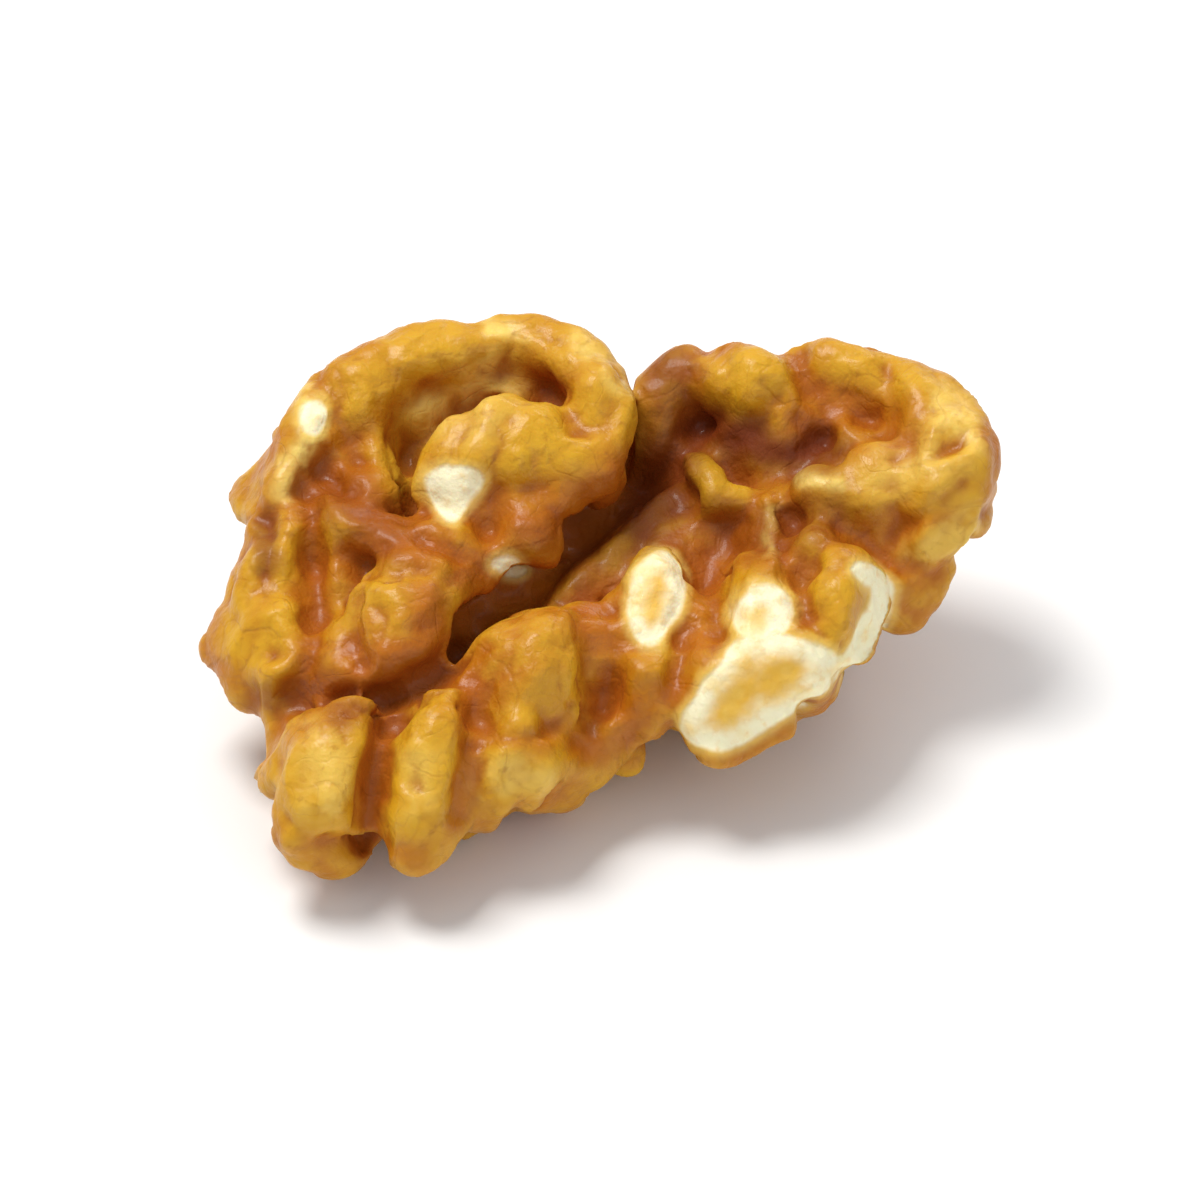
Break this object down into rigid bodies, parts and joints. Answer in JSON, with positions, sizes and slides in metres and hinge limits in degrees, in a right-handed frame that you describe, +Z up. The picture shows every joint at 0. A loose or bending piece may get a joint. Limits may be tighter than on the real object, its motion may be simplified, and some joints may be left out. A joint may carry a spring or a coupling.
{
  "type": "walnut kernel half",
  "caption": "Shelled half of a walnut kernel lying on its domed back, with folded lobes either side of a deep furrow and a few broken spots",
  "frame": {"origin": "centre of the bounding box in X and Y, at the floor the kernel rests on", "axes": "X along the kernel's length, from its narrow tip to its broad end; Y away from the side that the inner face is tipped towards; Z up, out of the inner face"},
  "size_m": [0.0348, 0.026, 0.0138],
  "materials": {
    "kernel_half": "satin amber nut skin, cream where it is broken"
  },
  "bodies": {
    "root": {"kernel_half": "kernel_half"}
  },
  "joints": []
}
